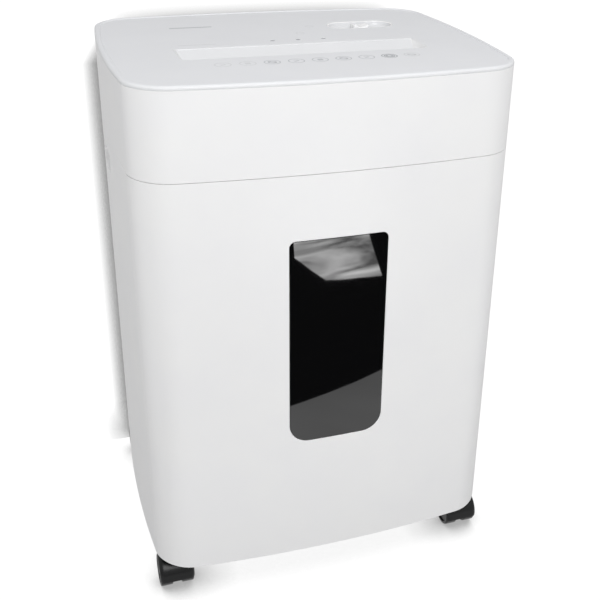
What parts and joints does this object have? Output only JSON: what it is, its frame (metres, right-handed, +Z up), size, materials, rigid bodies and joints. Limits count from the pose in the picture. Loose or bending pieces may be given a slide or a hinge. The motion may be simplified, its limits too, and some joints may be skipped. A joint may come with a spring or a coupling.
{
  "type": "paper shredder",
  "caption": "White office paper shredder: cutting head with feed slot over a cabinet with a windowed pull-out waste bin on swivel casters.",
  "frame": {"origin": "middle of the footprint on the floor, under the casters", "axes": "+Z up, -Y towards the front with the window, +X to the right seen from the front"},
  "size_m": [0.372, 0.308, 0.542],
  "materials": {
    "white_abs": "satin moulded",
    "pale_panel": "fine matt texture",
    "pale_guide": "satin moulded",
    "grey_abs": "matt moulded",
    "bin_pp": "matt moulded",
    "black_plastic": "matt moulded",
    "black_nylon": "satin moulded",
    "smoked_acrylic": "polished",
    "lens": "polished",
    "natural_nylon": "moulded",
    "zinc_steel": "zinc plated",
    "bright_steel": "ground",
    "hardened_steel": "hardened, oiled",
    "painted_can": "satin paint",
    "bronze": "sintered",
    "rubber_black": "matt",
    "board_green": "solder mask",
    "component": "sleeved",
    "ferrite": "sintered"
  },
  "bodies": {
    "root": {"cabinet_shell": "white_abs", "cabinet_floor": "grey_abs", "floor_rails": "grey_abs", "grip_cups": "white_abs", "head_base": "white_abs", "head_housing": "white_abs", "top_cover": "pale_panel", "feed_guide": "pale_guide", "control_bezel": "white_abs", "indicator_lenses": "lens", "indicator_board": "board_green", "mode_switch": "black_plastic", "control_board": "board_green", "board_transformer": "ferrite", "board_components": "component", "paper_sensor": "black_plastic", "bin_sensor": "black_plastic", "power_inlet": "black_plastic", "shred_chute": "black_plastic", "frame_plate_left": "zinc_steel", "frame_plate_right": "zinc_steel", "tie_bars": "zinc_steel", "comb_front": "hardened_steel", "comb_rear": "hardened_steel", "shaft_bushes": "bronze", "isolation_mounts": "rubber_black", "gear_axles": "bright_steel", "gear_plate": "zinc_steel", "gear_spacers": "zinc_steel", "motor_housing": "painted_can", "wiring": "black_plastic", "frame_screws": "zinc_steel", "head_screws": "zinc_steel"},
    "bin": {"bin_bucket": "bin_pp", "bin_front": "white_abs", "window": "smoked_acrylic", "window_retainer": "bin_pp", "bin_screws": "zinc_steel", "bin_magnet": "ferrite"},
    "cutter_front": {"cutter_shaft_front": "bright_steel", "cutter_discs_front": "hardened_steel", "sync_gear_front": "bright_steel"},
    "cutter_rear": {"cutter_shaft_rear": "bright_steel", "cutter_discs_rear": "hardened_steel", "sync_gear_rear": "bright_steel", "drive_gear": "bright_steel"},
    "gear_slow": {"compound_gear_slow": "natural_nylon"},
    "gear_fast": {"compound_gear_fast": "natural_nylon"},
    "rotor": {"motor_rotor": "bright_steel", "motor_fan": "black_plastic"},
    "knob": {"switch_knob": "white_abs"},
    "caster_fl": {"caster_hood_fl": "black_nylon"},
    "wheels_fl": {"caster_wheels_fl": "black_nylon"},
    "caster_fr": {"caster_hood_fr": "black_nylon"},
    "wheels_fr": {"caster_wheels_fr": "black_nylon"},
    "caster_bl": {"caster_hood_bl": "black_nylon"},
    "wheels_bl": {"caster_wheels_bl": "black_nylon"},
    "caster_br": {"caster_hood_br": "black_nylon"},
    "wheels_br": {"caster_wheels_br": "black_nylon"}
  },
  "joints": [
    {"name": "bin_pull", "type": "slide", "parent": "root", "child": "bin", "axis": [0, -1, 0], "range_m": [0, 0.26]},
    {"name": "motor_spin", "type": "hinge", "parent": "root", "child": "rotor", "pos_m": [0.06, 0.06675, 0.495], "axis": [1, 0, 0], "continuous": true},
    {"name": "gear_fast_spin", "type": "hinge", "parent": "root", "child": "gear_fast", "pos_m": [0.145, 0.03775, 0.495], "axis": [1, 0, 0], "continuous": true},
    {"name": "gear_slow_spin", "type": "hinge", "parent": "root", "child": "gear_slow", "pos_m": [0.135, 0.0065, 0.495], "axis": [1, 0, 0], "continuous": true},
    {"name": "cutter_rear_spin", "type": "hinge", "parent": "root", "child": "cutter_rear", "pos_m": [0, -0.0285, 0.495], "axis": [1, 0, 0], "continuous": true},
    {"name": "cutter_front_spin", "type": "hinge", "parent": "root", "child": "cutter_front", "pos_m": [0, -0.0635, 0.495], "axis": [1, 0, 0], "continuous": true},
    {"name": "mode_slide", "type": "slide", "parent": "root", "child": "knob", "axis": [1, 0, 0], "range_m": [-0.012, 0.012]},
    {"name": "swivel_fl", "type": "hinge", "parent": "root", "child": "caster_fl", "pos_m": [-0.162, -0.12, 0.05], "axis": [0, 0, 1], "continuous": true},
    {"name": "roll_fl", "type": "hinge", "parent": "caster_fl", "child": "wheels_fl", "pos_m": [-0.162, -0.112, 0.017], "axis": [1, 0, 0], "continuous": true},
    {"name": "swivel_fr", "type": "hinge", "parent": "root", "child": "caster_fr", "pos_m": [0.162, -0.12, 0.05], "axis": [0, 0, 1], "continuous": true},
    {"name": "roll_fr", "type": "hinge", "parent": "caster_fr", "child": "wheels_fr", "pos_m": [0.162, -0.112, 0.017], "axis": [1, 0, 0], "continuous": true},
    {"name": "swivel_bl", "type": "hinge", "parent": "root", "child": "caster_bl", "pos_m": [-0.162, 0.12, 0.05], "axis": [0, 0, 1], "continuous": true},
    {"name": "roll_bl", "type": "hinge", "parent": "caster_bl", "child": "wheels_bl", "pos_m": [-0.162, 0.128, 0.017], "axis": [1, 0, 0], "continuous": true},
    {"name": "swivel_br", "type": "hinge", "parent": "root", "child": "caster_br", "pos_m": [0.162, 0.12, 0.05], "axis": [0, 0, 1], "continuous": true},
    {"name": "roll_br", "type": "hinge", "parent": "caster_br", "child": "wheels_br", "pos_m": [0.162, 0.128, 0.017], "axis": [1, 0, 0], "continuous": true}
  ],
  "couplings": [
    {"joint": "gear_fast_spin", "follows": "motor_spin", "ratio": -0.20833},
    {"joint": "gear_slow_spin", "follows": "motor_spin", "ratio": 0.052083},
    {"joint": "cutter_rear_spin", "follows": "motor_spin", "ratio": -0.014205},
    {"joint": "cutter_front_spin", "follows": "motor_spin", "ratio": 0.014205}
  ]
}
